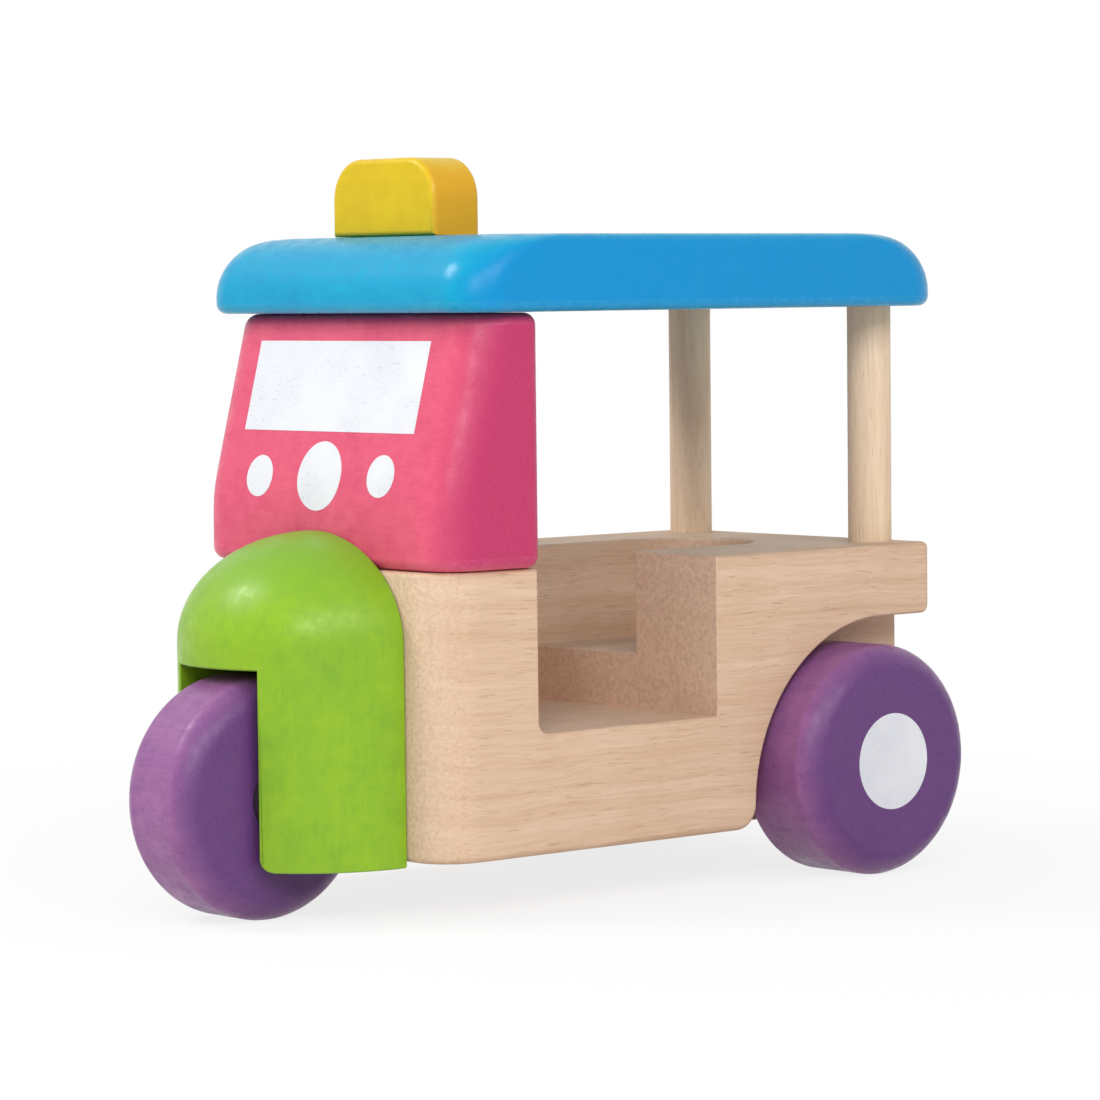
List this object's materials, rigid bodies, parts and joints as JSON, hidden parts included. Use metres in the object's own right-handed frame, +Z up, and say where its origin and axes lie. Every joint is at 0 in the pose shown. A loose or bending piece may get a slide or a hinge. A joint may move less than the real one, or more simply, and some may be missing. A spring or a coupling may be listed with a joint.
{
  "type": "toy auto rickshaw",
  "caption": "Wooden toy auto rickshaw: plain wood chassis with a door notch and a seat, painted cab, domed fork, roof board on posts and roof sign, on painted wheels that turn freely.",
  "frame": {"origin": "on the ground, under the middle of the object's length and width", "axes": "+Z up, +X towards the rear, so the front points along -X; the door is on the left side, which faces -Y"},
  "size_m": [0.1854, 0.1034, 0.155],
  "materials": {
    "plain_wood": "bare sanded light hardwood with fine grain",
    "pink_paint": "satin pink stain paint over wood grain, with plain white prints",
    "blue_paint": "satin blue stain paint over wood grain",
    "yellow_paint": "satin yellow stain paint over wood grain",
    "green_paint": "satin green stain paint over wood grain",
    "purple_paint": "satin purple stain paint over wood grain, with a plain white hub disc",
    "steel": "plain bright steel",
    "nylon": "natural nylon"
  },
  "bodies": {
    "body": {"chassis_block": "plain_wood", "cab_block": "pink_paint", "roof_board": "blue_paint", "roof_sign": "yellow_paint", "front_fork": "green_paint", "front_axle": "steel", "front_axle_plug": "green_paint", "front_washer_left": "nylon", "front_washer_right": "nylon", "rear_bush_left": "nylon", "rear_bush_right": "nylon", "rear_washer_left": "nylon", "rear_washer_right": "nylon", "post_left": "plain_wood", "post_right": "plain_wood", "cab_dowel_left": "plain_wood", "cab_dowel_right": "plain_wood", "roof_dowel_left": "plain_wood", "roof_dowel_right": "plain_wood", "sign_dowel_left": "plain_wood", "sign_dowel_right": "plain_wood", "fork_dowel_left": "plain_wood", "fork_dowel_right": "plain_wood", "fork_dowel_top": "plain_wood"},
    "front_wheel": {"front_wheel": "purple_paint"},
    "rear_axle": {"rear_axle": "steel", "rear_wheel_left": "purple_paint", "rear_wheel_right": "purple_paint"}
  },
  "joints": [
    {"name": "front_wheel_spin", "type": "hinge", "parent": "body", "child": "front_wheel", "pos_m": [-0.0677, 0, 0.025], "axis": [0, -1, 0], "continuous": true},
    {"name": "rear_axle_spin", "type": "hinge", "parent": "body", "child": "rear_axle", "pos_m": [0.0677, 0, 0.025], "axis": [0, -1, 0], "continuous": true}
  ]
}
